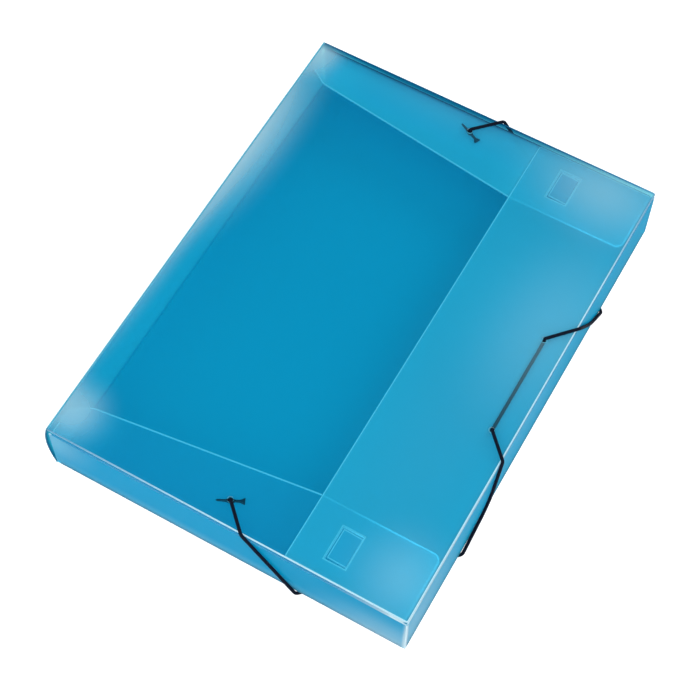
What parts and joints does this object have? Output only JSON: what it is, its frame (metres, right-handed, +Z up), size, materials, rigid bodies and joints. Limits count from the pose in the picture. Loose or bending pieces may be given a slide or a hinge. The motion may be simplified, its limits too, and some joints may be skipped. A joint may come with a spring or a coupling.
{
  "type": "box file",
  "caption": "Flat folded box for A4 papers with a hinged spine and lid, flaps folded in under the lid, and an elastic cord that loops round both front corners.",
  "frame": {"origin": "Under the middle of the closed box, on the surface that it lies on.", "axes": "+X from the spine to the front wall, +Y from the near end to the far end, +Z up through the lid."},
  "size_m": [0.2452, 0.3296, 0.0496],
  "materials": {
    "sheet": "frosted translucent polypropylene sheet, tinted blue",
    "crease": "the same sheet, paler where it is scored and folded",
    "elastic": "round elastic cord with a fine braided cover, blue-black",
    "barb": "moulded dark barb"
  },
  "bodies": {
    "tray": {"base_panel": "sheet", "base_spine_crease": "crease", "front_base_crease": "crease", "front_wall": "sheet", "front_flap_crease": "crease", "front_flap": "sheet", "near_base_crease": "crease", "near_end_wall": "sheet", "near_flap_crease": "crease", "near_end_flap": "sheet", "near_lock_tongue": "sheet", "far_base_crease": "crease", "far_end_wall": "sheet", "far_flap_crease": "crease", "far_end_flap": "sheet", "far_lock_tongue": "sheet"},
    "spine": {"spine_panel": "sheet", "spine_lid_crease": "crease"},
    "lid": {"lid_panel": "sheet", "lid_cord_run": "elastic", "near_cord_tail": "elastic", "far_cord_tail": "elastic", "near_barb": "barb", "far_barb": "barb"},
    "near_loop": {"near_corner_loop": "elastic"},
    "far_loop": {"far_corner_loop": "elastic"}
  },
  "joints": [
    {"name": "spine_fold", "type": "hinge", "parent": "tray", "child": "spine", "pos_m": [-0.11905, 0, 0.0029], "axis": [0, -1, 0], "range_deg": [0, 90]},
    {"name": "lid_fold", "type": "hinge", "parent": "spine", "child": "lid", "pos_m": [-0.11905, 0, 0.0469], "axis": [0, -1, 0], "range_deg": [0, 90]},
    {"name": "near_unhook", "type": "hinge", "parent": "lid", "child": "near_loop", "pos_m": [-0.00207, -0.14834, 0.0485], "axis": [-0.6965, -0.7175, 0], "range_deg": [0, 50], "deforming": ["near_corner_loop"]},
    {"name": "far_unhook", "type": "hinge", "parent": "lid", "child": "far_loop", "pos_m": [-0.0021, 0.14837, 0.0485], "axis": [0.6965, -0.7175, 0], "range_deg": [0, 50], "deforming": ["far_corner_loop"]}
  ]
}
